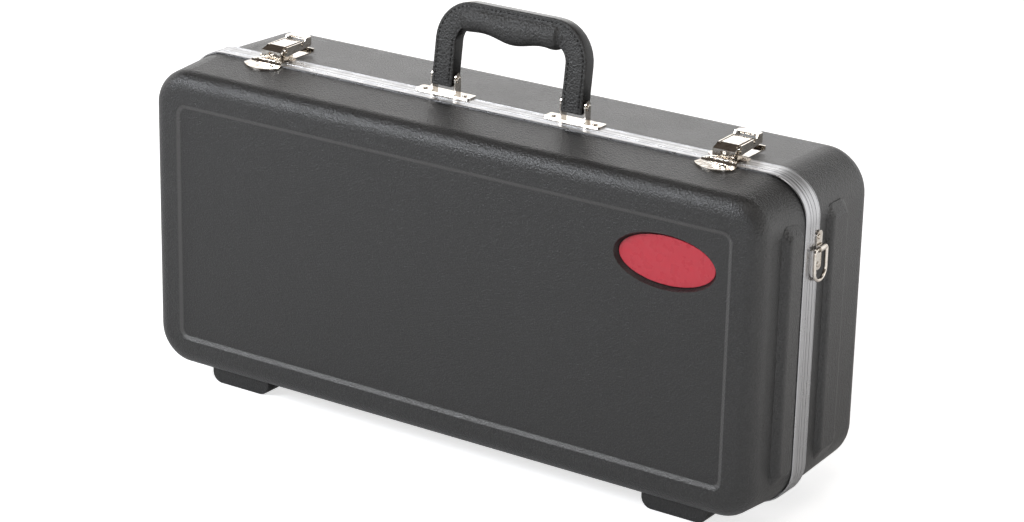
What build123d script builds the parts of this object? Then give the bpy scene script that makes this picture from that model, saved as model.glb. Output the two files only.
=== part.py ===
from math import atan2, cos, degrees, radians, sin
import os

from build123d import *

# Trumpet case, in millimetres. X runs along its length, its front face looks along -Y, Z is up.
# It stands on its feet at Z = 0. The front half is the lid, hinged under the band to the rear half.

# Shells, measured over the band line
case_length = 563.0
case_height = 253.5
lid_depth = 64.0
body_depth = 97.0
shell_wall = 3.0
collar_past_band = 1.0
lid_corner = 33.4
lid_lean = 4.2
lid_edge_round = 14.0
body_corner = 35.5
body_lean = 2.5
body_edge_round = 16.0

# Sunk panel on each big face
panel_side_margin = 28.0
panel_top_margin = 28.5
panel_bottom_margin = 26.0
panel_depth = 1.6
panel_slope = 3.5
panel_corner = 4.0

# Moulded feet under both shells
foot_height = 12.4
foot_length = 57.0
foot_width = 26.0
foot_end_margin = 76.5
foot_setback = 17.4
foot_corner = 9.0
foot_edge_round = 1.0

# Moulded bumpers on both ends of both shells
bumper_proud = 4.1
bumper_margin = 26.5
bumper_corner = 8.0
bumper_slope = 3.6
bumper_end_slope = 9.0
bumper_edge_round = 3.4
lid_bumper_width = 25.0
lid_bumper_offset = 26.3
body_bumper_width = 29.0
body_bumper_offset = 38.2

# Oval badge in its pocket on the front panel
badge_length = 81.0
badge_height = 37.2
badge_thickness = 1.0
badge_edge_round = 0.4
badge_fit = 0.3
badge_end_margin = 83.9
badge_top_margin = 62.6
pocket_depth = 4.6
pocket_slope = 2.2
pocket_backing = 4.0
pocket_backing_rim = 5.0

# Aluminium band: two extrusions that hold the shells' edges and meet at the seam
front_band_width = 9.4
rear_band_width = 10.9
band_proud = 1.1
band_corner = 31.5
band_inner_wall = 1.6
band_inner_width = 8.5
band_fit = 0.1
seam_gap = 0.4
web_thickness = 4.0
tongue_width = 2.0
tongue_length = 1.9
tongue_inset = 1.6
tongue_side_play = 0.3
tongue_end_play = 0.4
front_bevel = 0.5
rear_bevel = 0.4
front_stripe = (3.0, 8.0)
rear_groove = (4.4, 5.0)
rear_stripe = (6.2, 9.8)
stripe_sink = 0.2
groove_sink = 0.3

# Inside: moulded foam, lined with plush
foam_gap = 1.3
foam_floor_gap = 0.3
foam_edge_round = 12.0
lining_thickness = 2.0
lining_below_seam = 2.0
well_corner = 12.0
trumpet_axis_rise = 100.8
trumpet_well_depth = 72.0
bell_margin = 9.5
bell_length = 140.0
bell_height = 138.0
tube_margin = 25.5
tube_height = 78.0
valves_from_bell = 258.0
valves_length = 112.0
valves_height = 182.0
valves_rise = 4.0
accessory_length = 130.0
accessory_height = 62.0
accessory_depth = 58.0
accessory_end_margin = 26.5
accessory_top_margin = 7.8
mouthpiece_radius = 13.5
mouthpiece_count = 2
mouthpiece_from_valves = 22.0
mouthpiece_spacing = 42.0
mouthpiece_top_margin = 36.8
mouthpiece_depth = 62.0
lid_pad_rim = 12.0
lid_well_corner = 28.0
lid_well_depth = 34.0

# Butt hinges under the band
hinge_end_margin = 91.5
hinge_length = 50.0
hinge_leaf_thickness = 1.2
hinge_leaf_width = 9.6
hinge_drop = 3.0
hinge_knuckle_radius = 2.5
hinge_pin_radius = 1.25
hinge_pin_head = 0.8
hinge_pin_head_radius = 1.9
hinge_knuckles = 5
knuckle_gap = 0.3
knuckle_step = 0.4
hinge_rivet_spacing = 32.0
hinge_rivet_line = 6.4

# Rivets of the hardware
rivet_radius = 1.0
rivet_head_radius = 2.0
rivet_head_height = 0.9
rivet_tail_height = 0.8
rivet_line = 8.2
running_fit = 0.05

# Carrying handle
handle_x = 14.3
handle_lean = 8.0
handle_legs = 118.0
leg_width = 18.7
strap_thickness = 12.0
strap_edge_round = 1.3
strap_top = 62.1
strap_bottom = 5.9
strap_outer_corner = 32.0
strap_inner_top = 38.7
strap_inner_corner = 5.0
strap_bar_height = 17.0
core_width = 9.0
core_thickness = 2.4
core_start = 4.2
grip_half_length = 42.5
grip_top = 59.3
grip_corner = 7.0
grip_stations = (-1.0, -0.62, -0.3, 0.0, 0.3, 0.62, 1.0)
grip_bottoms = (38.0, 39.8, 37.8, 34.8, 37.8, 39.8, 38.0)
grip_widths = (16.0, 19.0, 20.0, 20.4, 20.0, 19.0, 16.0)

# Base plates of the handle
pin_height = 12.8
pin_line = 9.2
pin_radius = 1.6
pin_head_radius = 2.6
pin_head_length = 1.2
plate_length = 50.0
plate_width = 11.5
plate_thickness = 1.2
plate_corner = 1.2
plate_rivet_spacing = 37.0
ear_thickness = 1.6
ear_width = 7.5
ear_above_pin = 5.6
ear_play = 0.5

# Draw latches. Distances run back from the seam and up from the top of the band
left_latch_margin = 76.5
right_latch_margin = 72.5
latch_plate = 1.2
keeper_tip = 16.9
keeper_tip_line = -16.5
keeper_front = -24.3
keeper_rear = -0.8
keeper_rear_half = 12.0
keeper_rivet_x = 10.8
keeper_rivet_line = 7.2
keeper_step_half = 8.0
keeper_step = (-9.2, -5.4)
keeper_step_height = 1.4
catch_half = 6.4
catch_thickness = 1.9
catch_height = 4.2
claw_play = 0.3
base_half = 12.6
base_front = 0.8
base_rear = 36.0
base_wing_half = 16.9
base_wing_rear = 9.4
base_rivet_x = 12.4
base_rivet_line = 5.2
base_lip_height = 2.2
base_ear_inner = 7.5
base_ear_thickness = 1.0
base_ear_radius = 3.4
lever_pivot = (5.0, 6.7)
lever_wall_play = 0.3
lever_wall = 1.05
lever_front_radius = 3.7
lever_top_front = 28.6
lever_rear = 38.0
lever_top = 12.9
lever_shoulder = 1.2
lever_tail_bottom = 5.6
lever_tab_corner = 5.0
hook_pivot = (25.0, 8.6)
hook_half = 7.2
hook_flap_half = 9.1
hook_flap_rear = 0.6
hook_plate = 1.2
hook_bend = 4.8
hook_claw_top = 8.0
hook_claw_bottom = 2.4
hook_barrel_radius = 2.2
hook_pin_radius = 1.1
hook_hole_radius = 1.2
lever_pivot_radius = 1.2
small_head_radius = 2.0
small_head = 0.7

# Strap rings on the ends of the band
ring_line = 9.2
ring_top_margin = 53.0
ring_wire_radius = 1.4
ring_half_width = 8.6
ring_drop = 24.6
ring_bend = 2.6
clip_thickness = 1.2
clip_width = 8.0
clip_up = 13.0
clip_down = 17.0
clip_rivet_up = 8.6
clip_rivet_down = 12.6
clip_loop_wall = 1.2

# Levels and lines worked out from the sizes above
front_y = -(lid_depth + body_depth) / 2
seam_y = front_y + lid_depth
back_y = seam_y + body_depth
bottom_z = foot_height
top_z = bottom_z + case_height
mid_z = (bottom_z + top_z) / 2
end_x = case_length / 2
band_top = top_z + band_proud
band_bottom = bottom_z - band_proud
band_end = end_x + band_proud
inner_flange_inset = shell_wall + band_fit + band_inner_wall
rivet_grip = band_proud + shell_wall + 2 * band_fit + band_inner_wall
front, rear = -1, 1


def by_side(side, lid_value, body_value):
    return lid_value if side == front else body_value


def facing(y):
    return Plane(origin=(0, y, mid_z), x_dir=(1, 0, 0), z_dir=(0, -1, 0))


def outline(inset, corner):
    return RectangleRounded(case_length - 2 * inset, case_height - 2 * inset, corner - inset)


def seat(side):
    return seam_y + side * (seam_gap / 2 + web_thickness)


def face_line(side):
    return by_side(side, front_y, back_y)


def band_width(side):
    return by_side(side, front_band_width, rear_band_width)


def shell_corner(side):
    return by_side(side, lid_corner, body_corner)


def collar_end(side):
    return band_width(side) + collar_past_band


def wall_slope(side):
    return by_side(side, lid_lean, body_lean) / (by_side(side, lid_depth, body_depth) - collar_end(side))


def wall_inset(side, distance):
    return wall_slope(side) * (distance - collar_end(side))


def along(y_from, y_to, sketch):
    return extrude(facing(max(y_from, y_to)) * sketch, abs(y_to - y_from))


def edges_at(part, y):
    return part.edges().filter_by(lambda edge: abs(edge.bounding_box().min.Y - y) < 0.01
                                  and abs(edge.bounding_box().max.Y - y) < 0.01)


def leaning_block(side, inset, start, finish, edge_round):
    bend = seam_y + side * collar_end(side)
    profile = outline(inset, shell_corner(side))
    plane = Plane(origin=(0, bend, mid_z), x_dir=(1, 0, 0), z_dir=(0, side, 0))
    block = extrude(plane * profile, abs(finish - bend), taper=degrees(atan2(wall_slope(side), 1)))
    return fillet(edges_at(block, finish), edge_round) + along(start, bend, profile)


def panel_recess(side):
    y = face_line(side)
    length = case_length - 2 * panel_side_margin
    height = case_height - panel_top_margin - panel_bottom_margin
    centre = Pos(0, (panel_bottom_margin - panel_top_margin) / 2)
    floor = RectangleRounded(length - 2 * panel_slope, height - 2 * panel_slope, panel_corner)
    mouth = RectangleRounded(length, height, panel_corner + panel_slope)
    return loft([facing(y) * centre * mouth, facing(y - side * panel_depth) * centre * floor], ruled=True)


def foot(end, side):
    x = end * (end_x - foot_end_margin)
    y = face_line(side) - side * (foot_setback + foot_width / 2)
    outermost = abs(face_line(side) - seam_y) - foot_setback
    tall = foot_height + wall_inset(side, outermost) + shell_wall / 2
    block = Pos(x, y, tall / 2) * Box(foot_length, foot_width, tall)
    ends = [edge for edge in block.edges().filter_by(Axis.Y) if edge.center().Z < foot_height / 2]
    block = fillet(ends, foot_corner)
    base_rim = block.faces().sort_by(Axis.Z)[0].edges().filter_by(Axis.X)
    return fillet(base_rim, foot_edge_round)


def bumper(end, side):
    width = by_side(side, lid_bumper_width, body_bumper_width)
    distance = by_side(side, lid_bumper_offset, body_bumper_offset)
    height = case_height - 2 * bumper_margin
    base_x = end_x - wall_inset(side, distance + width / 2)

    def level(x):
        return Plane(origin=(end * x, seam_y + side * distance, mid_z),
                     x_dir=(0, end, 0), z_dir=(end, 0, 0))

    base = RectangleRounded(width, height, bumper_corner)
    root = extrude(level(base_x - shell_wall) * base, shell_wall)
    top = RectangleRounded(width - 2 * bumper_slope, height - 2 * bumper_end_slope,
                           bumper_corner - bumper_slope)
    pad = loft([level(base_x) * base, level(end_x + bumper_proud) * top], ruled=True)
    crown = pad.faces().sort_by(Axis.X)[-1 if end > 0 else 0]
    return root + fillet(crown.edges(), bumper_edge_round)


def shell(side):
    y_face = face_line(side)
    edge_round = by_side(side, lid_edge_round, body_edge_round)
    outer = leaning_block(side, 0, seat(side), y_face, edge_round)
    inner = leaning_block(side, shell_wall, seat(side), y_face - side * (shell_wall + panel_depth),
                          edge_round - shell_wall)
    for end in (-1, 1):
        outer += bumper(end, side)
        outer += foot(end, side)
    return outer - panel_recess(side) - inner


def badge_place(y):
    return facing(y) * Pos(end_x - badge_end_margin, case_height / 2 - badge_top_margin)


def pocket_floor():
    return front_y + panel_depth + pocket_depth


def badge_pocket():
    mouth = Ellipse(badge_length / 2 + badge_fit + pocket_slope, badge_height / 2 + badge_fit + pocket_slope)
    floor = Ellipse(badge_length / 2 + badge_fit, badge_height / 2 + badge_fit)
    return loft([badge_place(front_y + panel_depth) * mouth, badge_place(pocket_floor()) * floor],
                ruled=True)


def badge_backing():
    oval = Ellipse(badge_length / 2 + pocket_backing_rim, badge_height / 2 + pocket_backing_rim)
    start = front_y + panel_depth + shell_wall
    return extrude(badge_place(start + pocket_backing) * oval, pocket_backing)


def badge():
    oval = Ellipse(badge_length / 2, badge_height / 2)
    plate = extrude(badge_place(pocket_floor()) * oval, badge_thickness)
    return fillet(edges_at(plate, pocket_floor() - badge_thickness), badge_edge_round)


def band_ring(y_from, y_to, outer_inset, inner_inset, corner):
    return along(y_from, y_to, outline(outer_inset, corner) - outline(inner_inset, corner))


def surface_sink(side, span, depth):
    return band_ring(seam_y + side * span[0], seam_y + side * span[1],
                     -(band_proud + 1), -(band_proud - depth), band_corner)


def valance(side):
    meeting = seam_y + side * seam_gap / 2
    edge = seam_y + side * band_width(side)
    flange = band_ring(meeting, edge, -band_proud, -band_fit, band_corner)
    rim = flange.faces().sort_by(Axis.Y)[0 if side == front else -1].outer_wire().edges()
    flange = chamfer(rim, by_side(side, front_bevel, rear_bevel))
    web = along(meeting, seat(side), outline(-band_proud, band_corner)
                - outline(inner_flange_inset, shell_corner(side)))
    lip = band_ring(meeting, seam_y + side * band_inner_width, shell_wall + band_fit,
                    inner_flange_inset, shell_corner(side))
    return flange + web + lip


def tongue(play, length):
    return band_ring(seam_y - seam_gap / 2, seam_y - seam_gap / 2 + length,
                     tongue_inset - play, tongue_inset + tongue_width + play, band_corner)


def front_valance():
    profile = valance(front) - surface_sink(front, front_stripe, stripe_sink)
    return profile + tongue(0, tongue_length)


def rear_valance():
    profile = valance(rear) - surface_sink(rear, rear_stripe, stripe_sink)
    profile -= surface_sink(rear, rear_groove, groove_sink)
    return profile - tongue(tongue_side_play, tongue_length + tongue_end_play)


def rivet(head, tip, head_height=rivet_head_height, tail=True):
    axis = (tip - head).normalized()
    span = (tip - head).length
    shank = extrude(Plane(origin=head, z_dir=axis) * Circle(rivet_radius), span)
    dome = extrude(Plane(origin=head, z_dir=-axis) * Circle(rivet_head_radius), head_height)
    dome = fillet(dome.edges().group_by(lambda edge: (edge.center() - head).dot(-axis))[-1],
                  head_height * 0.8)
    parts = shank + dome
    if tail:
        parts += extrude(Plane(origin=tip, z_dir=axis) * Circle(rivet_head_radius), rivet_tail_height)
    return parts


def rivet_holes(rivets):
    return [extrude(Plane(origin=head - (tip - head).normalized(), z_dir=(tip - head).normalized())
                    * Circle(rivet_radius + running_fit), (tip - head).length + 2)
            for head, tip in rivets]


def rivet_group(rivets):
    return Compound(children=[rivet(head, tip) for head, tip in rivets])


def drilled(part, rivets):
    return part - rivet_holes(rivets)


def down_rivet(x, y, plate):
    return Vector(x, y, band_top + plate), Vector(x, y, band_top - rivet_grip)


def up_rivet(x, y, plate):
    return Vector(x, y, band_bottom - plate), Vector(x, y, band_bottom + rivet_grip)


def side_rivet(end, y, z, plate):
    return Vector(end * (band_end + plate), y, z), Vector(end * (band_end - rivet_grip), y, z)


def foam_inset():
    return inner_flange_inset + foam_gap


def foam_half_sizes():
    return case_length / 2 - foam_inset(), case_height / 2 - foam_inset()


def bell_end():
    return bell_margin - foam_half_sizes()[0]


def trumpet_well():
    half_length, half_height = foam_half_sizes()
    axis = trumpet_axis_rise - half_height
    tube_start = bell_end() + bell_length / 2
    tube_length = half_length - tube_margin - tube_start
    valves_x = bell_end() + valves_from_bell + valves_length / 2
    plan = Pos(tube_start, axis) * Rectangle(bell_length, bell_height)
    plan += Pos(tube_start + tube_length / 2, axis) * Rectangle(tube_length, tube_height)
    plan += Pos(valves_x, axis + valves_rise) * Rectangle(valves_length, valves_height)
    return fillet(plan.vertices(), well_corner)


def accessory_plan():
    half_length, half_height = foam_half_sizes()
    x = half_length - accessory_end_margin - accessory_length / 2
    z = half_height - accessory_top_margin - accessory_height / 2
    return Pos(x, z) * RectangleRounded(accessory_length, accessory_height, well_corner)


def mouthpiece_plans():
    z = foam_half_sizes()[1] - mouthpiece_top_margin
    last = bell_end() + valves_from_bell - mouthpiece_from_valves
    return [Pos(last - index * mouthpiece_spacing, z) * Circle(mouthpiece_radius)
            for index in range(mouthpiece_count)]


def lid_well():
    inset = foam_inset() + lid_pad_rim
    return outline(inset, inset + lid_well_corner)


def lined_insert(side, floor_gap, wells):
    mouth = seam_y + side * lining_below_seam
    floor = face_line(side) - side * (panel_depth + shell_wall + floor_gap)
    under_lining = mouth + side * lining_thickness
    foam = leaning_block(side, foam_inset(), under_lining, floor, foam_edge_round)
    lining = along(under_lining, mouth, outline(foam_inset(), shell_corner(side)))
    for plan, depth in wells:
        wider = offset(plan, lining_thickness)
        foam -= along(under_lining, mouth + side * (depth + lining_thickness), wider)
        lining += along(under_lining, mouth + side * (depth + lining_thickness), wider)
    for plan, depth in wells:
        lining -= along(mouth, mouth + side * depth, plan)
    return foam, lining


def hinge_axis():
    return seam_y, band_bottom - hinge_drop


def across(radius, x_from, x_to, y, z):
    plane = Plane(origin=(x_from, y, z), x_dir=(0, 1, 0), z_dir=(1, 0, 0))
    return extrude(plane * Circle(radius), x_to - x_from)


def hinge_leaf(x, side):
    y, z = hinge_axis()
    start = hinge_knuckle_radius + knuckle_step
    width = hinge_leaf_width - start
    leaf_z = band_bottom - hinge_leaf_thickness / 2
    leaf = Pos(x, y + side * (start + width / 2), leaf_z) * Box(hinge_length, width, hinge_leaf_thickness)
    pitch = hinge_length / hinge_knuckles
    first = 0 if side == rear else 1
    for index in range(first, hinge_knuckles, 2):
        low = x - hinge_length / 2 + index * pitch + knuckle_gap / 2
        high = low + pitch - knuckle_gap
        leaf += across(hinge_knuckle_radius, low, high, y, z)
        leaf += (Pos((low + high) / 2, y + side * start / 2, leaf_z)
                 * Box(high - low, start, hinge_leaf_thickness))
    return leaf - across(hinge_pin_radius + running_fit, x - hinge_length, x + hinge_length, y, z)


def hinge_pin(x):
    y, z = hinge_axis()
    half = hinge_length / 2
    pin = across(hinge_pin_radius, x - half, x + half, y, z)
    for low in (x - half - hinge_pin_head, x + half):
        pin += across(hinge_pin_head_radius, low, low + hinge_pin_head, y, z)
    return pin


def hinge_places():
    reach = end_x - hinge_end_margin
    return {"left": -reach, "middle": 0, "right": reach}


def hinge_rivets(side):
    return [up_rivet(x + step * hinge_rivet_spacing / 2, seam_y + side * hinge_rivet_line,
                     hinge_leaf_thickness) for x in hinge_places().values() for step in (-1, 1)]


def leg_places():
    return [-handle_legs / 2, handle_legs / 2]


def handle_place():
    return Pos(handle_x, seam_y + pin_line, band_top + pin_height) * Rot(-handle_lean, 0, 0)


def arch(half_width, bottom, top, corner):
    block = Pos(0, (top + bottom) / 2) * Rectangle(2 * half_width, top - bottom)
    return fillet(block.vertices().sort_by(Axis.Y)[-2:], corner)


def through_leg(sketch, thickness):
    return extrude(Plane.XZ.offset(-thickness / 2) * sketch, thickness)


def strap_outline():
    half = handle_legs / 2 + leg_width / 2
    return arch(half, -strap_bottom, strap_top, strap_outer_corner)


def pin_bores(radius):
    return [across(radius, x - leg_width, x + leg_width, 0, 0) for x in leg_places()]


def core():
    rim = (leg_width - core_width) / 2
    half = handle_legs / 2 + core_width / 2
    band = (arch(half, core_start, strap_top - rim, strap_outer_corner - rim)
            - arch(half - core_width, 0, strap_top - rim - core_width,
                   strap_outer_corner - rim - core_width))
    return through_leg(band, core_thickness)


def strap():
    inner_half = handle_legs / 2 - leg_width / 2
    opening = arch(inner_half, -2 * strap_bottom, strap_inner_top, strap_inner_corner)
    bar_bottom = strap_top - strap_bar_height
    window = Pos(0, (strap_inner_top + bar_bottom) / 2) * Rectangle(
        2 * grip_half_length, bar_bottom - strap_inner_top)
    leather = through_leg(strap_outline() - opening - window, strap_thickness)
    rims = leather.edges().filter_by(lambda edge: abs(edge.center().Y) > strap_thickness / 2 - 0.01)
    leather = fillet(rims, strap_edge_round) - core()
    for bore in pin_bores(pin_radius + running_fit):
        leather -= bore
    return leather


def grip():
    sections = []
    for station, bottom, width in zip(grip_stations, grip_bottoms, grip_widths):
        plane = Plane(origin=(station * grip_half_length, 0, (grip_top + bottom) / 2),
                      x_dir=(0, 1, 0), z_dir=(1, 0, 0))
        sections.append(plane * RectangleRounded(width, grip_top - bottom, grip_corner))
    bar_bottom = strap_top - strap_bar_height
    bar = (Pos(0, 0, (strap_top + bar_bottom) / 2)
           * Box(4 * grip_half_length, strap_thickness, strap_bar_height))
    return loft(sections) - bar


def ear_outline():
    half = ear_width / 2
    tip = (0, pin_height + ear_above_pin)
    base = Polyline((-half, pin_height), (-half, 0), (half, 0), (half, pin_height))
    return make_face([base, TangentArc((half, pin_height), tip, tangent=(0, 1)),
                      TangentArc((-half, pin_height), tip, tangent=(0, 1))])


def handle_plate(leg_x):
    x, y = handle_x + leg_x, seam_y + pin_line
    plate = Pos(x, y, band_top + plate_thickness / 2) * Box(plate_length, plate_width, plate_thickness)
    plate = chamfer(plate.edges().filter_by(Axis.Z), plate_corner)
    for side in (-1, 1):
        inner = leg_width / 2 + ear_play
        low = x + (inner if side > 0 else -inner - ear_thickness)
        plane = Plane(origin=(low, y, band_top), x_dir=(0, 1, 0), z_dir=(1, 0, 0))
        plate += extrude(plane * ear_outline(), ear_thickness)
    return plate - across(pin_radius + running_fit, x - plate_length, x + plate_length, y,
                          band_top + pin_height)


def handle_pin(leg_x):
    x, y, z = handle_x + leg_x, seam_y + pin_line, band_top + pin_height
    half = leg_width / 2 + ear_play + ear_thickness
    pin = across(pin_radius, x - half, x + half, y, z)
    for low in (x - half - pin_head_length, x + half):
        head = across(pin_head_radius, low, low + pin_head_length, y, z)
        outer = head.edges().sort_by(Axis.X)[0 if low < x else -1]
        pin += fillet(outer, pin_head_length * 0.7)
    return pin


def handle_rivets():
    return [down_rivet(handle_x + leg + step * plate_rivet_spacing / 2, seam_y + rivet_line,
                       plate_thickness) for leg in leg_places() for step in (-1, 1)]


def latch_places():
    return {"left": left_latch_margin - end_x, "right": end_x - right_latch_margin}


def on_band(x, y, z):
    return Pos(x, seam_y + y, band_top + z)


def profile_plane(x):
    return Plane(origin=(x, seam_y, band_top), x_dir=(0, 1, 0), z_dir=(1, 0, 0))


def claw_line():
    return keeper_rear - catch_thickness - claw_play


def keeper_sheet(x):
    lower = [(keeper_rear, 0), (-front_band_width, 0), (-collar_end(front), -band_proud),
             (keeper_front, -band_proud - wall_inset(front, -keeper_front))]
    upper = [(y, z + latch_plate) for y, z in reversed(lower)]
    profile = make_face(Polyline(*lower, *upper, close=True))
    front_arc = ThreePointArc((-keeper_tip, keeper_tip_line), (0, keeper_front), (keeper_tip, keeper_tip_line))
    back = Polyline((keeper_tip, keeper_tip_line), (keeper_rear_half, keeper_rear),
                    (-keeper_rear_half, keeper_rear), (-keeper_tip, keeper_tip_line))
    plan = extrude(Plane.XY * make_face([front_arc, back]), -keeper_front, both=True)
    return extrude(profile_plane(x - keeper_tip) * profile, 2 * keeper_tip) & on_band(x, 0, 0) * plan


def keeper(x):
    step_depth = keeper_step[1] - keeper_step[0]
    step = (Pos(0, (keeper_step[0] + keeper_step[1]) / 2, latch_plate + keeper_step_height / 2)
            * Box(2 * keeper_step_half, step_depth, keeper_step_height))
    step = fillet(step.edges().group_by(Axis.Z)[-1], keeper_step_height * 0.6)
    catch = (Pos(0, keeper_rear - catch_thickness / 2, latch_plate + catch_height / 2)
             * Box(2 * catch_half, catch_thickness, catch_height))
    catch = fillet(catch.edges().group_by(Axis.Z)[-1].filter_by(Axis.X), catch_thickness * 0.4)
    return keeper_sheet(x) + on_band(x, 0, 0) * (step + catch)


def keeper_rivets(x):
    return [down_rivet(x + side * keeper_rivet_x, seam_y - keeper_rivet_line, latch_plate)
            for side in (-1, 1)]


def base_rivets(x):
    return [down_rivet(x + side * base_rivet_x, seam_y + base_rivet_line, latch_plate)
            for side in (-1, 1)]


def latch_base(x):
    length = base_rear - base_front
    plate = Pos(0, base_front + length / 2, latch_plate / 2) * Box(2 * base_half, length, latch_plate)
    wing = base_wing_rear - base_front
    wings = (Pos(0, base_front + wing / 2, latch_plate / 2)
             * Box(2 * base_wing_half, wing, latch_plate))
    wings = fillet(wings.edges().filter_by(Axis.Z), wing / 2 - 0.4)
    lip = (Pos(0, base_rear - latch_plate / 2, (latch_plate + base_lip_height) / 2)
           * Box(2 * base_half, latch_plate, latch_plate + base_lip_height))
    body = on_band(x, 0, 0) * (plate + wings + lip)
    pivot_y, pivot_z = lever_pivot
    ear = (Pos(pivot_y, pivot_z / 2) * Rectangle(2 * base_ear_radius, pivot_z)
           + Pos(pivot_y, pivot_z) * Circle(base_ear_radius))
    for low in (base_ear_inner, -base_ear_inner - base_ear_thickness):
        body += extrude(profile_plane(x + low) * ear, base_ear_thickness)
    return body - across(lever_pivot_radius + running_fit, x - base_wing_half, x + base_wing_half,
                         seam_y + pivot_y, band_top + pivot_z)


def lever_inner():
    return base_ear_inner + base_ear_thickness + lever_wall_play


def latch_lever(x):
    pivot_y, pivot_z = lever_pivot
    hook_y, hook_z = hook_pivot
    inner, outer = lever_inner(), lever_inner() + lever_wall
    side = make_face(Polyline(
        (pivot_y, pivot_z - lever_front_radius), (lever_rear - lever_tab_corner / 2, lever_tail_bottom),
        (lever_rear - lever_tab_corner / 2, lever_top), (lever_top_front, lever_top),
        (lever_top_front - lever_shoulder, hook_z + hook_barrel_radius),
        (pivot_y, pivot_z + lever_front_radius),
        close=True))
    side += Pos(pivot_y, pivot_z) * Circle(lever_front_radius)
    part = extrude(profile_plane(x + inner) * side, lever_wall)
    part += extrude(profile_plane(x - outer) * side, lever_wall)
    tab_length = lever_rear - lever_top_front
    tab = (on_band(x, lever_top_front + tab_length / 2, lever_top - latch_plate / 2)
           * Box(2 * outer, tab_length, latch_plate))
    rear_corners = tab.edges().filter_by(Axis.Z).sort_by(Axis.Y)[-2:]
    part += fillet(rear_corners, lever_tab_corner)
    for y, z, radius in ((pivot_y, pivot_z, lever_pivot_radius), (hook_y, hook_z, hook_pin_radius)):
        part -= across(radius + running_fit, x - base_wing_half, x + base_wing_half,
                       seam_y + y, band_top + z)
    return part


def latch_hook(x):
    hook_y, hook_z = hook_pivot
    top = hook_z + hook_barrel_radius
    claw = claw_line()
    profile = make_face(Polyline(
        (hook_y, top), (hook_bend, top), (claw - hook_plate, hook_claw_top),
        (claw - hook_plate, hook_claw_bottom), (claw, hook_claw_bottom),
        (claw, hook_claw_top - hook_plate * 0.7), (hook_bend, top - hook_plate),
        (hook_y, top - hook_plate), close=True))
    part = extrude(profile_plane(x - hook_flap_half) * profile, 2 * hook_flap_half)
    ear_room = hook_flap_half - hook_half
    for side in (-1, 1):
        part -= (on_band(x + side * (hook_half + ear_room / 2), (hook_flap_rear + hook_y) / 2, top)
                 * Box(ear_room, hook_y - hook_flap_rear, 2 * top))
    part += across(hook_barrel_radius, x - hook_half, x + hook_half, seam_y + hook_y, band_top + hook_z)
    part -= across(hook_pin_radius + running_fit, x - base_wing_half, x + base_wing_half,
                   seam_y + hook_y, band_top + hook_z)
    hole_z = (hook_claw_top + hook_claw_bottom + hook_hole_radius) / 2
    slot = Plane(origin=(x, seam_y + claw + 1, band_top + hole_z), x_dir=(1, 0, 0), z_dir=(0, -1, 0))
    return part - extrude(slot * SlotOverall(4 * hook_hole_radius, 2 * hook_hole_radius), hook_plate + 2)


def lever_pivots(x):
    y, z = seam_y + lever_pivot[0], band_top + lever_pivot[1]
    inner, outer = base_ear_inner, lever_inner() + lever_wall
    stubs = []
    for side in (-1, 1):
        ends = sorted((x + side * (inner - small_head), x + side * (outer + small_head)))
        heads = sorted((x + side * (inner - small_head), x + side * inner))
        caps = sorted((x + side * outer, x + side * (outer + small_head)))
        stub = across(lever_pivot_radius, ends[0], ends[1], y, z)
        stub += across(small_head_radius - 0.2, heads[0], heads[1], y, z)
        stub += across(small_head_radius, caps[0], caps[1], y, z)
        stubs.append(stub)
    return Compound(children=stubs)


def hook_pin(x):
    y, z = seam_y + hook_pivot[0], band_top + hook_pivot[1]
    half = lever_inner() + lever_wall
    pin = across(hook_pin_radius, x - half, x + half, y, z)
    for low in (x - half - small_head, x + half):
        pin += across(small_head_radius - 0.2, low, low + small_head, y, z)
    return pin


def ring_axis():
    return band_end + clip_thickness + ring_wire_radius + running_fit, top_z - ring_top_margin


def clip(end):
    x, z = ring_axis()
    y = seam_y + ring_line
    tall = clip_up + clip_down
    plate = (Pos(end * (band_end + clip_thickness / 2), y, z + (clip_up - clip_down) / 2)
             * Box(clip_thickness, clip_width, tall))
    corners = plate.edges().filter_by(Axis.X)
    plate = fillet(corners, clip_width / 2 - 0.5)
    loop_radius = ring_wire_radius + running_fit + clip_loop_wall
    base = Plane(origin=(end * x, y + clip_width / 2, z), x_dir=(1, 0, 0), z_dir=(0, -1, 0))
    loop = extrude(base * Circle(loop_radius), clip_width)
    inward = Pos(end * (band_end - loop_radius), y, z) * Box(2 * loop_radius, 2 * clip_width, 4 * loop_radius)
    bore = extrude(base * Circle(ring_wire_radius + running_fit), clip_width)
    return plate + (loop - inward) - bore


def strap_ring(end):
    x, z = ring_axis()
    y = seam_y + ring_line
    half, straight_end = ring_half_width, ring_drop - ring_half_width
    wire = ring_wire_radius
    rod = Circle(wire)

    def rod_between(start, finish):
        direction = (finish - start).normalized()
        return extrude(Plane(origin=start, z_dir=direction) * rod, (finish - start).length)

    def bend(centre, radius, first_angle, turn):
        plane = Plane(origin=centre, x_dir=(0, 1, 0), z_dir=(1, 0, 0))
        begin = radians(first_angle)
        spot = centre + Vector(0, radius * cos(begin), radius * sin(begin))
        heading = Vector(0, -sin(begin), cos(begin))
        arc = plane * CenterArc((0, 0), radius, first_angle, turn)
        return sweep(Plane(origin=spot, z_dir=heading) * rod, arc)

    def spot(dy, dz):
        return Vector(end * x, y + dy, z + dz)

    ring_part = rod_between(spot(-half + ring_bend, 0), spot(half - ring_bend, 0))
    for side in (-1, 1):
        ring_part += rod_between(spot(side * half, -ring_bend), spot(side * half, -straight_end))
    ring_part += bend(spot(half - ring_bend, -ring_bend), ring_bend, 0, 90)
    ring_part += bend(spot(-half + ring_bend, -ring_bend), ring_bend, 90, 90)
    ring_part += bend(spot(0, -straight_end), half, 180, 180)
    return ring_part


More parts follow.
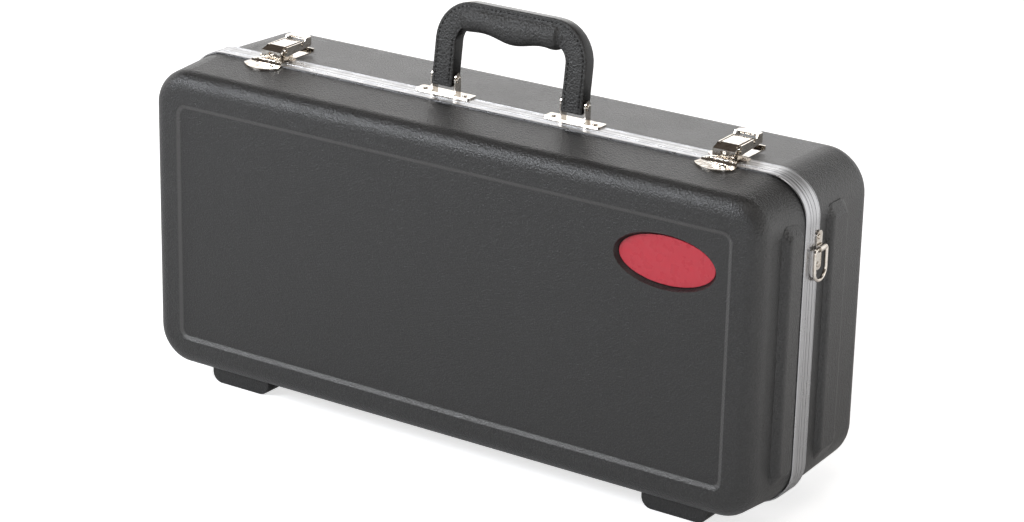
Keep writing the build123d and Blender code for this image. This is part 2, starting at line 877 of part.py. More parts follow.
def clip_rivets(end):
    z = ring_axis()[1]
    return [side_rivet(end, seam_y + rivet_line, z + step, clip_thickness)
            for step in (clip_rivet_up, -clip_rivet_down)]


def build():
    latches = latch_places()
    lid_rivets = hinge_rivets(front) + [r for x in latches.values() for r in keeper_rivets(x)]
    body_rivets = (hinge_rivets(rear) + handle_rivets()
                   + [r for x in latches.values() for r in base_rivets(x)]
                   + [r for end in (-1, 1) for r in clip_rivets(end)])

    lid = shell(front) + badge_backing() - badge_pocket()
    body = shell(rear)
    body_wells = [(trumpet_well(), trumpet_well_depth), (accessory_plan(), accessory_depth)]
    body_wells += [(plan, mouthpiece_depth) for plan in mouthpiece_plans()]
    foam, lining = lined_insert(rear, foam_floor_gap, body_wells)
    lid_foam, lid_lining = lined_insert(front, pocket_backing + foam_floor_gap,
                                        [(lid_well(), lid_well_depth)])
    nodes = {
        "front_shell": drilled(lid, lid_rivets),
        "rear_shell": drilled(body, body_rivets),
        "front_valance": drilled(front_valance(), lid_rivets),
        "rear_valance": drilled(rear_valance(), body_rivets),
        "badge": badge(),
        "rear_foam": foam,
        "rear_lining": lining,
        "front_foam": lid_foam,
        "front_lining": lid_lining,
        "rear_hinge_rivets": rivet_group(hinge_rivets(rear)),
        "front_hinge_rivets": rivet_group(hinge_rivets(front)),
        "handle_core": handle_place() * core(),
        "handle_strap": handle_place() * strap(),
        "handle_grip": handle_place() * grip(),
        "handle_rivets": rivet_group(handle_rivets()),
    }
    for name, x in hinge_places().items():
        nodes[f"{name}_hinge_rear_leaf"] = drilled(hinge_leaf(x, rear), hinge_rivets(rear))
        nodes[f"{name}_hinge_front_leaf"] = drilled(hinge_leaf(x, front), hinge_rivets(front))
        nodes[f"{name}_hinge_pin"] = hinge_pin(x)
    for name, leg in zip(("left", "right"), leg_places()):
        nodes[f"{name}_handle_plate"] = drilled(handle_plate(leg), handle_rivets())
        nodes[f"{name}_handle_pin"] = handle_pin(leg)
    for name, end in (("left", -1), ("right", 1)):
        nodes[f"{name}_ring_clip"] = drilled(clip(end), clip_rivets(end))
        nodes[f"{name}_strap_ring"] = strap_ring(end)
        nodes[f"{name}_clip_rivets"] = rivet_group(clip_rivets(end))
    for name, x in latches.items():
        nodes[f"{name}_latch_keeper"] = drilled(keeper(x), keeper_rivets(x))
        nodes[f"{name}_keeper_rivets"] = rivet_group(keeper_rivets(x))
        nodes[f"{name}_latch_base"] = drilled(latch_base(x), base_rivets(x))
        nodes[f"{name}_latch_rivets"] = rivet_group(base_rivets(x))
        nodes[f"{name}_latch_lever"] = latch_lever(x)
        nodes[f"{name}_lever_pivots"] = lever_pivots(x)
        nodes[f"{name}_latch_hook"] = latch_hook(x)
        nodes[f"{name}_hook_pin"] = hook_pin(x)
    return nodes


os.makedirs("parts", exist_ok=True)
for node, solid in build().items():
    export_step(solid, f"parts/{node}.step")
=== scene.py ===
from math import cos, pi, radians, sin

import bpy
import bmesh
from mathutils import Matrix, Vector


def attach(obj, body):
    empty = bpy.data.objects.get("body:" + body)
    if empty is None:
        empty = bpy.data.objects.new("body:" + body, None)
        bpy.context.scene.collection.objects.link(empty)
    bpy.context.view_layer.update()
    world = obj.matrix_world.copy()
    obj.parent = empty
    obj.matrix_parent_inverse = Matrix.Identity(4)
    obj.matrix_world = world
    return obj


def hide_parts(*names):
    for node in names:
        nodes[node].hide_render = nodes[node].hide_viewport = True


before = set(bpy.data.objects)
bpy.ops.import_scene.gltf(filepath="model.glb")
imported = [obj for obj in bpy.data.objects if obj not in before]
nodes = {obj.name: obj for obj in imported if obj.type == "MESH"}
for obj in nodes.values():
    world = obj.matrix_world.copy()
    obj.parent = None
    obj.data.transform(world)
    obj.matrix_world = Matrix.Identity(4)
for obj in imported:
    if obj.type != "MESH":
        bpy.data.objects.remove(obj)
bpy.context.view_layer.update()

print("frame loaded:", len(nodes), "nodes")


# camera at the photograph's view, in metres, with the lens and the sensor in millimetres

cameraSetup = {
    "eye": (1.21127, -1.80402, 0.92985),
    "target": (0.018608, -0.0055, 0.143215),
    "rollDegrees": 1.294,
    "lensMm": 104.64,
    "sensorMm": 36.0,
    "clipEnd": 50,
}


def addCamera(setup):
    eye, target = Vector(setup["eye"]), Vector(setup["target"])
    back = (eye - target).normalized()
    right = Vector((0, 0, 1)).cross(back).normalized()
    up = back.cross(right)
    roll = radians(setup["rollDegrees"])
    tiltedRight = right * cos(roll) + up * sin(roll)
    tiltedUp = up * cos(roll) - right * sin(roll)
    camera = bpy.data.cameras.new("photoCamera")
    camera.lens = setup["lensMm"]
    camera.sensor_width = setup["sensorMm"]
    camera.clip_end = setup["clipEnd"]
    holder = bpy.data.objects.new("photoCamera", camera)
    bpy.context.collection.objects.link(holder)
    turn = Matrix((tiltedRight, tiltedUp, back)).transposed().to_4x4()
    holder.matrix_world = Matrix.Translation(eye) @ turn
    bpy.context.scene.camera = holder


addCamera(cameraSetup)


# node helpers: a value is a number, a colour or another node's output

def newMaterial(name):
    material = bpy.data.materials.new(name)
    material.use_nodes = True
    tree = material.node_tree
    shader = tree.nodes["Principled BSDF"]
    coords = tree.nodes.new("ShaderNodeTexCoord")
    return material, tree, shader, coords.outputs["Object"]


def feed(tree, socket, value):
    if isinstance(value, bpy.types.NodeSocket):
        tree.links.new(value, socket)
    else:
        socket.default_value = value


def feedAll(tree, node, values):
    for name, value in values.items():
        feed(tree, node.inputs[name], value)


def noise(tree, vector, perMetre, detail=3.0, rough=0.5):
    node = tree.nodes.new("ShaderNodeTexNoise")
    feedAll(tree, node, {"Vector": vector, "Scale": perMetre, "Detail": detail, "Roughness": rough})
    return node.outputs["Fac"]


def cells(tree, vector, perMetre):
    node = tree.nodes.new("ShaderNodeTexVoronoi")
    feedAll(tree, node, {"Vector": vector, "Scale": perMetre})
    return node.outputs["Distance"]


def stretched(tree, vector, scale):
    node = tree.nodes.new("ShaderNodeMapping")
    feedAll(tree, node, {"Vector": vector, "Scale": scale})
    return node.outputs["Vector"]


def axes(tree, vector):
    node = tree.nodes.new("ShaderNodeSeparateXYZ")
    feed(tree, node.inputs["Vector"], vector)
    return node.outputs


def mapRange(tree, value, span=(0.0, 1.0), into=(0.0, 1.0)):
    node = tree.nodes.new("ShaderNodeMapRange")
    feedAll(tree, node, {"Value": value, "From Min": span[0], "From Max": span[1],
                         "To Min": into[0], "To Max": into[1]})
    return node.outputs["Result"]


def combine(tree, operation, first, second=0.0):
    node = tree.nodes.new("ShaderNodeMath")
    node.operation = operation
    feed(tree, node.inputs[0], first)
    feed(tree, node.inputs[1], second)
    return node.outputs["Value"]


def blendColours(tree, fac, first, second):
    node = tree.nodes.new("ShaderNodeMix")
    node.data_type = "RGBA"
    feedAll(tree, node, {"Factor": fac, "A": first, "B": second})
    return node.outputs["Result"]


def bump(tree, shader, height, distance):
    node = tree.nodes.new("ShaderNodeBump")
    feedAll(tree, node, {"Height": height, "Distance": distance, "Strength": 1.0})
    feed(tree, shader.inputs["Normal"], node.outputs["Normal"])


def grey(value):
    return (value, value, value, 1.0)


def paint(objectName, material):
    target = bpy.data.objects[objectName]
    target.data.materials.clear()
    target.data.materials.append(material)


def nodesWith(*words):
    return [name for name in nodes if any(word in name for word in words)]


# moulded plastic: haircell grain with a painted highlight speckle, paler on its raised points,
# slightly uneven gloss

plasticLook = {
    "dark": grey(0.002),
    "pale": (0.020, 0.0195, 0.0195, 1.0),
    "toneSpan": (0.4, 0.65),
    "grain": {"perMetre": 850.0, "detail": 3.0, "rough": 0.6},
    "pitsPerMetre": 595.0,
    "pitsShare": (0.0, 0.5),
    "grainHeight": 0.00052,
    "scuff": {"perMetre": 35.0, "detail": 6.0, "rough": 0.6},
    "scuffSpan": (0.3, 0.7),
    "roughness": (0.34, 0.38),
    "specular": 0.75,
}

# painted highlight: a paler line along the edge of both sunk panels, a rounded rectangle about the
# shells' middle

rimHighlightLook = {
    "halfSize": (0.2535, 0.0995),
    "middleZ": 0.1379,
    "corner": 0.0095,
    "width": 0.0035,
    "fullShare": 0.25,
    "fadeShare": 0.6,
    "fromY": 0.0775,
    "fadeY": 0.0005,
    "tone": (0.065, 0.0635, 0.062, 1.0),
}


def paintedRimHighlight(tree, coords, look):
    place = axes(tree, coords)
    across = combine(tree, "ABSOLUTE", place["X"])
    rise = combine(tree, "ABSOLUTE", combine(tree, "SUBTRACT", place["Z"], look["middleZ"]))
    past = []
    for distance, half in zip((across, rise), look["halfSize"]):
        beyond = combine(tree, "SUBTRACT", distance, half - look["corner"])
        past.append(combine(tree, "POWER", combine(tree, "MAXIMUM", beyond, 0.0), 2.0))
    reach = combine(tree, "POWER", combine(tree, "ADD", *past), 0.5)
    middle = look["corner"] - look["width"] / 2
    off = combine(tree, "ABSOLUTE", combine(tree, "SUBTRACT", reach, middle))
    fade = (look["width"] * look["fullShare"], look["width"] * look["fadeShare"])
    line = mapRange(tree, off, span=fade, into=(1.0, 0.0))
    depth = combine(tree, "ABSOLUTE", place["Y"])
    outermost = mapRange(tree, depth, span=(look["fromY"], look["fromY"] + look["fadeY"]))
    return combine(tree, "MULTIPLY", line, outermost)


def mouldedPlastic(look, rim):
    material, tree, shader, coords = newMaterial("mouldedPlastic")
    grain = noise(tree, coords, **look["grain"])
    pits = mapRange(tree, cells(tree, coords, look["pitsPerMetre"]), into=look["pitsShare"])
    scuff = noise(tree, coords, **look["scuff"])
    # painted highlight speckle: the grain's raised points are paler
    paintedSpeckle = mapRange(tree, grain, span=look["toneSpan"])
    colour = blendColours(tree, paintedSpeckle, look["dark"], look["pale"])
    feedAll(tree, shader, {
        # the panels' rim gets a painted highlight line in the base colour
        "Base Color": blendColours(tree, paintedRimHighlight(tree, coords, rim), colour, rim["tone"]),
        "Roughness": mapRange(tree, scuff, span=look["scuffSpan"], into=look["roughness"]),
        "Specular IOR Level": look["specular"],
    })
    bump(tree, shader, combine(tree, "ADD", grain, pits), look["grainHeight"])
    return material


shellPlastic = mouldedPlastic(plasticLook, rimHighlightLook)
for name in ("front_shell", "rear_shell"):
    paint(name, shellPlastic)


# satin aluminium, drawn lengthwise, so its fine lines and ribs run round the band

aluminiumLook = {
    "colour": (0.52, 0.52, 0.53, 1.0),
    "shade": (0.42, 0.42, 0.43, 1.0),
    "toneSpan": (0.35, 0.65),
    "stretch": (0.01, 1.0, 0.01),
    "lines": {"perMetre": 900.0, "detail": 2.0},
    "linesShare": (0.0, 0.25),
    "ribPitch": 0.0034,
    "ribHeight": 0.00003,
    "wear": {"perMetre": 90.0, "detail": 5.0},
    "wearSpan": (0.3, 0.7),
    "roughness": (0.24, 0.36),
}


def drawnAluminium(look):
    material, tree, shader, coords = newMaterial("drawnAluminium")
    lines = noise(tree, stretched(tree, coords, look["stretch"]), **look["lines"])
    turns = combine(tree, "MULTIPLY", axes(tree, coords)["Y"], 2 * pi / look["ribPitch"])
    ribs = combine(tree, "SINE", turns)
    wear = noise(tree, coords, **look["wear"])
    shaded = mapRange(tree, lines, span=look["toneSpan"])
    feedAll(tree, shader, {
        "Base Color": blendColours(tree, shaded, look["shade"], look["colour"]),
        "Metallic": 1.0,
        "Roughness": mapRange(tree, wear, span=look["wearSpan"], into=look["roughness"]),
    })
    height = combine(tree, "ADD", ribs, mapRange(tree, lines, into=look["linesShare"]))
    bump(tree, shader, height, look["ribHeight"])
    return material


bandAluminium = drawnAluminium(aluminiumLook)
for name in ("front_valance", "rear_valance"):
    paint(name, bandAluminium)


# bright nickel plate, a little warm, with faint waves and handling haze

nickelLook = {
    "colour": (0.66, 0.62, 0.565, 1.0),
    "worn": (0.42, 0.355, 0.29, 1.0),
    "toneSpan": (0.45, 0.75),
    "haze": {"perMetre": 180.0, "detail": 5.0, "rough": 0.6},
    "hazeSpan": (0.3, 0.7),
    "roughness": (0.05, 0.16),
    "waves": {"perMetre": 240.0, "detail": 2.0},
    "waveHeight": 0.00013,
}


def nickelPlate(look):
    material, tree, shader, coords = newMaterial("nickelPlate")
    haze = noise(tree, coords, **look["haze"])
    handled = mapRange(tree, haze, span=look["toneSpan"])
    feedAll(tree, shader, {
        "Base Color": blendColours(tree, handled, look["colour"], look["worn"]),
        "Metallic": 1.0,
        "Roughness": mapRange(tree, haze, span=look["hazeSpan"], into=look["roughness"]),
    })
    bump(tree, shader, noise(tree, coords, **look["waves"]), look["waveHeight"])
    return material


nickel = nickelPlate(nickelLook)
for name in nodesWith("hinge", "latch", "lever", "hook", "keeper", "rivets", "clip", "ring",
                      "plate", "pin", "core"):
    paint(name, nickel)


# red enamel of the bare badge

badgeLook = {
    "colour": (0.60, 0.022, 0.045, 1.0),
    "deep": (0.50, 0.016, 0.035, 1.0),
    "cloud": {"perMetre": 120.0, "detail": 4.0},
    "roughness": (0.22, 0.34),
    "coat": 0.4,
    "peelPerMetre": 700.0,
    "peelHeight": 0.00003,
}


def redEnamel(look):
    material, tree, shader, coords = newMaterial("redEnamel")
    cloud = noise(tree, coords, **look["cloud"])
    feedAll(tree, shader, {
        "Base Color": blendColours(tree, cloud, look["deep"], look["colour"]),
        "Roughness": mapRange(tree, cloud, into=look["roughness"]),
        "Coat Weight": look["coat"],
    })
    bump(tree, shader, noise(tree, coords, look["peelPerMetre"]), look["peelHeight"])
    return material


paint("badge", redEnamel(badgeLook))


# black leather: pebbled grain with creases, their low spots painted darker as painted shade, the
# strap's painted cut edge, and its thread

leatherLook = {
    "dark": grey(0.010),
    "pale": (0.040, 0.039, 0.038, 1.0),
    "toneSpan": (0.6, 1.4),
    "pebblesPerMetre": 560.0,
    "creases": {"perMetre": 130.0, "detail": 5.0, "rough": 0.65},
    "creaseSpan": (0.3, 0.7),
    "fine": {"perMetre": 2200.0, "detail": 3.0},
    "fineShare": (0.0, 0.4),
    "grainHeight": 0.0005,
    "roughness": (0.40, 0.56),
}

edgeLook = {
    "dark": grey(0.003),
    "pale": grey(0.009),
    "cloud": {"perMetre": 220.0, "detail": 4.0},
    "roughness": (0.22, 0.36),
    "specular": 0.3,
    "stretch": (1.0, 3.0, 0.2),
    "brushPerMetre": 500.0,
    "brushHeight": 0.00008,
}

threadLook = {
    "dark": grey(0.002),
    "pale": grey(0.010),
    "twist": {"perMetre": 2600.0, "detail": 2.0},
    "twistHeight": 0.00008,
    "roughness": (0.35, 0.55),
}


def pebbledLeather(look):
    material, tree, shader, coords = newMaterial("pebbledLeather")
    pebbles = cells(tree, coords, look["pebblesPerMetre"])
    creases = noise(tree, coords, **look["creases"])
    fine = mapRange(tree, noise(tree, coords, **look["fine"]), into=look["fineShare"])
    height = combine(tree, "ADD", combine(tree, "ADD", pebbles, creases), fine)
    # painted shade: the low spots of the pebbles and creases are darker
    paintedHollowShade = mapRange(tree, height, span=look["toneSpan"])
    feedAll(tree, shader, {
        "Base Color": blendColours(tree, paintedHollowShade, look["dark"], look["pale"]),
        "Roughness": mapRange(tree, creases, span=look["creaseSpan"], into=look["roughness"]),
    })
    bump(tree, shader, height, look["grainHeight"])
    return material


def edgePaint(look):
    material, tree, shader, coords = newMaterial("edgePaint")
    cloud = noise(tree, coords, **look["cloud"])
    feedAll(tree, shader, {
        "Base Color": blendColours(tree, cloud, look["dark"], look["pale"]),
        "Roughness": mapRange(tree, cloud, into=look["roughness"]),
        "Specular IOR Level": look["specular"],
    })
    strokes = noise(tree, stretched(tree, coords, look["stretch"]), look["brushPerMetre"])
    bump(tree, shader, strokes, look["brushHeight"])
    return material


def waxedThread(look):
    material, tree, shader, coords = newMaterial("waxedThread")
    twist = noise(tree, coords, **look["twist"])
    feedAll(tree, shader, {
        "Base Color": blendColours(tree, twist, look["dark"], look["pale"]),
        "Roughness": mapRange(tree, twist, into=look["roughness"]),
    })
    bump(tree, shader, twist, look["twistHeight"])
    return material


leather = pebbledLeather(leatherLook)
edge = edgePaint(edgeLook)
thread = waxedThread(threadLook)
print("materials of the frame and the handle ready")


# modelling helpers: everything is added at its place and keeps its origin in the world's;
# a face looks along an axis where its normal's share of it is over facing

facing = 0.9
near = 1e-4
doubles = 1e-6


def selectOnly(*pieces):
    bpy.ops.object.select_all(action="DESELECT")
    for piece in pieces:
        piece.select_set(True)
    bpy.context.view_layer.objects.active = pieces[0]


def joined(pieces):
    selectOnly(*pieces)
    bpy.ops.object.join()
    return bpy.context.object


def finishObject(piece, name, *materials):
    piece.name = piece.data.name = name
    selectOnly(piece)
    bpy.ops.object.transform_apply(location=True, rotation=True, scale=True)
    piece.data.materials.clear()
    for material in materials:
        piece.data.materials.append(material)


def addBlock(centre, size):
    bpy.ops.mesh.primitive_cube_add(size=1, location=centre, scale=size)
    bpy.ops.object.transform_apply(location=True, rotation=False, scale=True)
    return bpy.context.object


def pick(piece, test, mode="FACE"):
    bpy.context.view_layer.objects.active = piece
    if piece.mode != "EDIT":
        bpy.ops.object.mode_set(mode="EDIT")
    bpy.ops.mesh.select_mode(type=mode)
    bpy.ops.mesh.select_all(action="DESELECT")
    mesh = bmesh.from_edit_mesh(piece.data)
    for item in {"FACE": mesh.faces, "EDGE": mesh.edges, "VERT": mesh.verts}[mode]:
        item.select_set(bool(test(item)))
    mesh.select_flush_mode()
    bmesh.update_edit_mesh(piece.data)


def leaveEdit():
    bpy.ops.object.mode_set(mode="OBJECT")


def applyModifier(piece, kind, **settings):
    selectOnly(piece)
    modifier = piece.modifiers.new(kind.lower(), kind)
    for key, value in settings.items():
        setattr(modifier, key, value)
    bpy.ops.object.modifier_apply(modifier=modifier.name)


def tilt(piece, origin, degreesBack):
    turn = Matrix.Translation(origin) @ Matrix.Rotation(radians(-degreesBack), 4, "X")
    piece.data.transform(turn)
    piece.data.update()


# handle strap: two legs and a bar in one run, spun round both corners, then the padded faces;
# its shape is given about the cross pins

handlePlace = {
    "pins": (0.0143, -0.0073, 0.2798),
    "leanDegrees": 8.0,
}

strapShape = {
    "legCentre": 0.0590,
    "width": 0.0187,
    "thickness": 0.0120,
    "bottom": -0.0059,
    "top": 0.0621,
    "outerCorner": 0.0320,
    "cornerSteps": 10,
    "rimRound": 0.0013,
    "rimSegments": 4,
    "rimRadians": 1.2,
    "creaseInset": 0.0015,
    "padInset": 0.0014,
    "padRise": 0.00035,
    "padSteps": ((0.3, -0.4), (0.5, 0.9), (1.0, 0.5)),
    "softening": {"width": 0.0012, "segments": 3, "limit_method": "ANGLE",
                  "angle_limit": radians(50)},
    "paintedBelow": 0.55,
    "smoothDegrees": 40,
}

handleOrigin = Vector(handlePlace["pins"])


def addStrap(shape):
    outer = shape["legCentre"] + shape["width"] / 2
    turnZ = shape["top"] - shape["outerCorner"]
    turnX = outer - shape["outerCorner"]
    length = turnZ - shape["bottom"]

    def spinRound(x):
        bpy.ops.mesh.spin(steps=shape["cornerSteps"], angle=-pi / 2, center=(x, 0, turnZ),
                          axis=(0, 1, 0))

    def endsAt(x):
        return lambda face: (face.normal.x > facing
                             and abs(face.calc_center_median().x - x) < near
                             and face.calc_center_median().z > turnZ)

    strap = addBlock((-shape["legCentre"], 0, shape["bottom"] + length / 2),
                     (shape["width"], shape["thickness"], length))
    pick(strap, lambda face: face.normal.z > facing)
    spinRound(-turnX)
    pick(strap, endsAt(-turnX))
    bpy.ops.mesh.extrude_region_move(TRANSFORM_OT_translate={"value": (2 * turnX, 0, 0)})
    pick(strap, endsAt(turnX))
    spinRound(turnX)
    pick(strap, lambda face: face.normal.z < -facing and face.calc_center_median().x > 0
         and abs(face.calc_center_median().z - turnZ) < near)
    bpy.ops.mesh.extrude_region_move(TRANSFORM_OT_translate={"value": (0, 0, -length)})
    bpy.ops.mesh.select_all(action="SELECT")
    bpy.ops.mesh.remove_doubles(threshold=doubles)
    bpy.ops.mesh.normals_make_consistent(inside=False)
    leaveEdit()
    return strap


def padFaces(strap, shape):
    for side in (-1, 1):
        pick(strap, lambda face: face.normal.y * side > facing)
        bpy.ops.mesh.inset(thickness=shape["creaseInset"], depth=0)
        for widthShare, riseShare in shape["padSteps"]:
            bpy.ops.mesh.inset(thickness=shape["padInset"] * widthShare,
                               depth=shape["padRise"] * riseShare)
    half = shape["thickness"] / 2 - near
    pick(strap, lambda rim: all(abs(vert.co.y) > half for vert in rim.verts)
         and rim.calc_face_angle(0) > shape["rimRadians"], "EDGE")
    bpy.ops.mesh.bevel(offset=shape["rimRound"], segments=shape["rimSegments"], affect="EDGES")
    leaveEdit()


strap = addStrap(strapShape)
padFaces(strap, strapShape)
applyModifier(strap, "BEVEL", **strapShape["softening"])
finishObject(strap, "handleStrap", leather, edge)
for face in strap.data.polygons:
    face.material_index = 0 if abs(face.normal.y) > strapShape["paintedBelow"] else 1
bpy.ops.object.shade_smooth_by_angle(angle=radians(strapShape["smoothDegrees"]))
tilt(strap, handleOrigin, handlePlace["leanDegrees"])
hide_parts("handle_strap")
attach(strap, "handle")
print("strap", len(strap.data.polygons), "faces")


# padded grip: a round bar of leather over foam, hollowed for the fingers, its seam underneath;
# each station is a place along the bar, the height of its underside and its half depth

gripShape = {
    "reach": 0.0494,
    "top": 0.0600,
    "stations": ((-0.0494, 0.0388, 0.0064), (-0.0440, 0.0384, 0.0078), (-0.0380, 0.0386, 0.0094),
                 (-0.0290, 0.0396, 0.0100), (-0.0200, 0.0388, 0.0100), (-0.0120, 0.0368, 0.0101),
                 (-0.0050, 0.0350, 0.0102), (0.0020, 0.0345, 0.0102), (0.0100, 0.0358, 0.0102),
                 (0.0190, 0.0380, 0.0100), (0.0280, 0.0388, 0.0098), (0.0345, 0.0376, 0.0098),
                 (0.0385, 0.0378, 0.0097), (0.0402, 0.0386, 0.0092), (0.0408, 0.0396, 0.0072),
                 (0.0494, 0.0398, 0.0066)),
    "around": 40,
    "squareness": 2.6,
    "topTaper": 0.36,
    "taperCurve": 1.5,
    "seamHalf": 0.0008,
    "seamBelow": 0.0450,
    "seamSink": 0.0006,
}


def addGrip(shape):
    stations, power = shape["stations"], shape["squareness"]
    bpy.ops.mesh.primitive_cylinder_add(vertices=shape["around"], radius=1,
                                        depth=2 * shape["reach"], location=(0, 0, 0),
                                        rotation=(0, pi / 2, 0))
    bpy.ops.object.transform_apply(location=True, rotation=True, scale=True)
    grip = bpy.context.object
    for station in stations[1:-1]:
        pick(grip, lambda face: True)
        bpy.ops.mesh.bisect(plane_co=(station[0], 0, 0), plane_no=(1, 0, 0))
    leaveEdit()
    for vert in grip.data.vertices:
        x, bottom, half = min(stations, key=lambda station: abs(station[0] - vert.co.x))
        tall = (shape["top"] - bottom) / 2
        across, rise = vert.co.y, vert.co.z
        outwards = (abs(across) ** power + abs(rise) ** power) ** (1 / power)
        across, rise = across / outwards, rise / outwards
        taper = 1 - shape["topTaper"] * max(rise, 0.0) ** shape["taperCurve"]
        vert.co = (x, across * half * taper, bottom + tall + rise * tall)
    return grip


def sinkSeam(grip, shape):
    for vert in grip.data.vertices:
        if abs(vert.co.y) < shape["seamHalf"] and vert.co.z < shape["seamBelow"]:
            vert.co.z += shape["seamSink"]


grip = addGrip(gripShape)
applyModifier(grip, "SUBSURF", levels=2, render_levels=2)
sinkSeam(grip, gripShape)
finishObject(grip, "handleGrip", leather)
bpy.ops.object.shade_smooth()
tilt(grip, handleOrigin, handlePlace["leanDegrees"])
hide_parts("handle_grip")
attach(grip, "handle")
print("grip", len(grip.data.polygons), "faces")


# saddle stitches on the strap's front and back, round its outside and up both legs' inside

stitchShape = {
    "inset": 0.0029,
    "pitch": 0.0038,
    "length": 0.0026,
    "girth": 0.0010,
    "around": 8,
    "rings": 5,
    "swell": 1.12,
    "swellHalf": 0.3,
    "startInsets": 1.5,
    "innerTop": 0.0360,
    "proud": 0.00032,
}


def stitchPlaces(shape, strapSize):
    outer = strapSize["legCentre"] + strapSize["width"] / 2
    radius = strapSize["outerCorner"] - shape["inset"]
    turnX = outer - strapSize["outerCorner"]
    turnZ = strapSize["top"] - strapSize["outerCorner"]
    start = strapSize["bottom"] + shape["startInsets"] * shape["inset"]
    legX = outer - shape["inset"]
    legRun, arcRun, barRun = turnZ - start, radius * pi / 2, 2 * turnX
    total = 2 * (legRun + arcRun) + barRun
    count = int(total / shape["pitch"])
    for index in range(count):
        run = (index + 0.5) * total / count
        side, run = (-1, run) if run < total / 2 else (1, total - run)
        if run < legRun:
            yield side * legX, start + run, pi / 2
        elif run < legRun + arcRun:
            turn = (run - legRun) / radius
            yield (side * (turnX + radius * cos(turn)), turnZ + radius * sin(turn),
                   side * (turn + pi / 2))
        else:
            yield side * (turnX - (run - legRun - arcRun)), strapSize["top"] - shape["inset"], 0.0
    innerX = strapSize["legCentre"] - strapSize["width"] / 2 + shape["inset"]
    for index in range(int((shape["innerTop"] - start) / shape["pitch"])):
        for side in (-1, 1):
            yield side * innerX, start + (index + 0.5) * shape["pitch"], pi / 2


def addStitches(shape, strapSize):
    bpy.ops.mesh.primitive_uv_sphere_add(segments=shape["around"], ring_count=shape["rings"],
                                         radius=0.5)
    stitch = bpy.context.object
    pick(stitch, lambda vert: abs(vert.co.z) < shape["swellHalf"], "VERT")
    bpy.ops.transform.resize(value=(shape["swell"], shape["swell"], 1.0))
    leaveEdit()
    stitch.rotation_euler = (0, pi / 2, 0)
    stitch.scale = (shape["girth"], shape["girth"], shape["length"])
    bpy.ops.object.transform_apply(location=True, rotation=True, scale=True)
    copies = []
    face = strapSize["thickness"] / 2 + shape["proud"]
    for x, z, angle in stitchPlaces(shape, strapSize):
        for side in (-1, 1):
            copy = bpy.data.objects.new("stitch", stitch.data.copy())
            bpy.context.collection.objects.link(copy)
            turn = Matrix.Rotation(-angle, 4, "Y")
            copy.data.transform(Matrix.Translation((x, side * face, z)) @ turn)
            copies.append(copy)
    bpy.data.objects.remove(stitch)
    return joined(copies)


stitches = addStitches(stitchShape, strapShape)
finishObject(stitches, "handleStitches", thread)
bpy.ops.object.shade_smooth()
tilt(stitches, handleOrigin, handlePlace["leanDegrees"])
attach(stitches, "handle")
print("stitches", len(stitches.data.polygons), "faces")


# lined inserts: foam and plush as one soft form, softened where the plush turns over an edge

insertShape = {
    "weld": 1e-5,
    "voxel": 0.0034,
    "smoothFactor": 0.5,
    "smoothRounds": 6,
}

plushLook = {
    "dark": (0.010, 0.010, 0.013, 1.0),
    "pale": (0.040, 0.040, 0.048, 1.0),
    "toneSpan": (0.7, 1.3),
    "pile": {"perMetre": 1500.0, "detail": 3.0, "rough": 0.7},
    "pileHeight": 0.0006,
    "stretch": (1.0, 1.0, 0.4),
    "strokes": {"perMetre": 28.0, "detail": 4.0},
    "roughness": (0.8, 1.0),
    "sheen": 0.35,
    "sheenRoughness": 0.4,
    "specular": 0.2,
}


def plushPile(look):
    material, tree, shader, coords = newMaterial("plushPile")
    pile = noise(tree, coords, **look["pile"])
    strokes = noise(tree, stretched(tree, coords, look["stretch"]), **look["strokes"])
    nap = mapRange(tree, combine(tree, "ADD", pile, strokes), span=look["toneSpan"])
    feedAll(tree, shader, {
        "Base Color": blendColours(tree, nap, look["dark"], look["pale"]),
        "Roughness": mapRange(tree, strokes, into=look["roughness"]),
        "Sheen Weight": look["sheen"],
        "Sheen Roughness": look["sheenRoughness"],
        "Specular IOR Level": look["specular"],
    })
    bump(tree, shader, pile, look["pileHeight"])
    return material


plush = plushPile(plushLook)


def addInsert(shape, name, body, *covered):
    copies = []
    for node in covered:
        source = bpy.data.objects[node]
        copy = bpy.data.objects.new(name, source.data.copy())
        bpy.context.collection.objects.link(copy)
        copy.matrix_world = source.matrix_world
        copies.append(copy)
    insert = joined(copies)
    applyModifier(insert, "WELD", merge_threshold=shape["weld"])
    applyModifier(insert, "REMESH", mode="VOXEL", voxel_size=shape["voxel"])
    applyModifier(insert, "SMOOTH", factor=shape["smoothFactor"], iterations=shape["smoothRounds"])
    finishObject(insert, name, plush)
    bpy.ops.object.shade_smooth()
    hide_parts(*covered)
    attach(insert, body)
    print(name, len(insert.data.polygons), "faces")


addInsert(insertShape, "rearInsert", "case", "rear_foam", "rear_lining")
addInsert(insertShape, "lidInsert", "lid", "front_foam", "front_lining")


# studio: a floor that the camera sees white, a plain backdrop behind it, and soft lamps;
# only mirrored rays see the floor glow to the right, and the case is lit by a bright horizon
# under a dark ceiling, darkened to the front

coolTint = (0.92, 0.955, 1.0)
warmTint = (1.0, 0.98, 0.95)

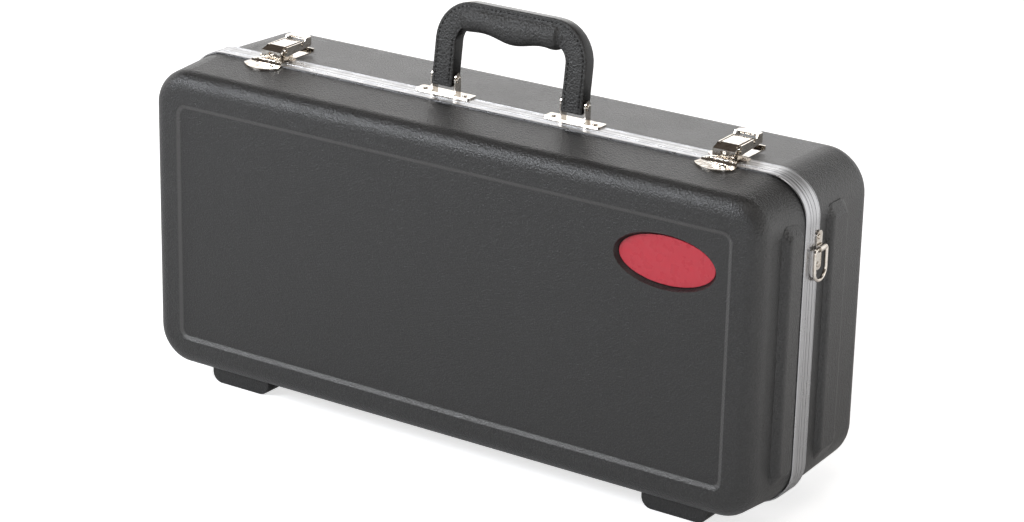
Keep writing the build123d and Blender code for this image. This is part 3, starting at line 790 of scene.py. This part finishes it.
studioSetup = {
    "floorHalf": 6.0,
    "floorTone": 0.8,
    "floorRoughness": 0.9,
    "glowSeen": 0.7,
    "glowMirrored": (0.08, 0.95),
    "glowRunX": (0.3, 1.1),
    "lamps": {
        "keyLamp": {"place": (-1.5, -1.9, 1.6), "power": 60.0, "size": 0.9, "tint": coolTint},
        "backLamp": {"place": (-1.7, 2.6, 0.9), "power": 8.0, "size": 1.8,
                     "tint": (1.0, 0.98, 0.96)},
        "topLamp": {"place": (0.7, -0.5, 2.8), "power": 16.0, "size": 1.4, "tint": warmTint},
        "sideLamp": {"place": (2.6, 0.4, 1.0), "power": 6.0, "size": 1.2, "tint": warmTint},
        "cornerLamp": {"place": (1.4, -2.3, 0.3), "power": 5.0, "size": 0.5, "tint": coolTint},
    },
    "aim": (0, 0, 0.15),
    "horizon": (1.35, 1.35, 1.35, 1.0),
    "ceiling": (0.10, 0.085, 0.075, 1.0),
    "climb": (0.34, 0.6),
    "frontRunY": (0.1, -0.4),
    "frontShare": (0.0, 0.95),
}


def addLamp(name, look, aim):
    lamp = bpy.data.lights.new(name, "AREA")
    lamp.energy = look["power"]
    lamp.size = look["size"]
    lamp.color = look["tint"]
    holder = bpy.data.objects.new(name, lamp)
    bpy.context.collection.objects.link(holder)
    holder.location = look["place"]
    away = Vector(aim) - Vector(look["place"])
    holder.rotation_euler = away.to_track_quat("-Z", "Y").to_euler()


def addFloor(setup):
    bpy.ops.mesh.primitive_plane_add(size=2 * setup["floorHalf"], location=(0, 0, 0))
    floor = bpy.context.object
    floor.name = "studioFloor"
    material, tree, shader, coords = newMaterial("studioFloor")
    feedAll(tree, shader, {"Base Color": grey(setup["floorTone"]),
                           "Roughness": setup["floorRoughness"]})
    path = tree.nodes.new("ShaderNodeLightPath")
    seen = combine(tree, "MULTIPLY", path.outputs["Is Camera Ray"], setup["glowSeen"])
    rightwards = mapRange(tree, axes(tree, coords)["X"], span=setup["glowRunX"],
                          into=setup["glowMirrored"])
    mirrored = combine(tree, "MULTIPLY", path.outputs["Is Glossy Ray"], rightwards)
    glow = tree.nodes.new("ShaderNodeEmission")
    feed(tree, glow.inputs["Strength"], combine(tree, "MAXIMUM", seen, mirrored))
    both = tree.nodes.new("ShaderNodeAddShader")
    feed(tree, both.inputs[0], shader.outputs["BSDF"])
    feed(tree, both.inputs[1], glow.outputs["Emission"])
    feed(tree, tree.nodes["Material Output"].inputs["Surface"], both.outputs["Shader"])
    floor.data.materials.append(material)


def addWorld(setup):
    world = bpy.data.worlds.new("studioWorld")
    bpy.context.scene.world = world
    world.use_nodes = True
    tree = world.node_tree
    lit = tree.nodes["Background"]
    coords = tree.nodes.new("ShaderNodeTexCoord")
    direction = axes(tree, coords.outputs["Generated"])
    height = mapRange(tree, direction["Z"], span=setup["climb"])
    front = mapRange(tree, direction["Y"], span=setup["frontRunY"], into=setup["frontShare"])
    dark = combine(tree, "MAXIMUM", height, front)
    sky = blendColours(tree, dark, setup["horizon"], setup["ceiling"])
    feed(tree, lit.inputs["Color"], sky)
    plain = tree.nodes.new("ShaderNodeBackground")
    path = tree.nodes.new("ShaderNodeLightPath")
    mix = tree.nodes.new("ShaderNodeMixShader")
    feed(tree, mix.inputs["Fac"], path.outputs["Is Camera Ray"])
    feed(tree, mix.inputs[1], lit.outputs["Background"])
    feed(tree, mix.inputs[2], plain.outputs["Background"])
    feed(tree, tree.nodes["World Output"].inputs["Surface"], mix.outputs["Shader"])


addFloor(studioSetup)
addWorld(studioSetup)
for lampName, lampLook in studioSetup["lamps"].items():
    addLamp(lampName, lampLook, studioSetup["aim"])
bpy.context.scene.view_settings.view_transform = "Standard"
print("studio ready")
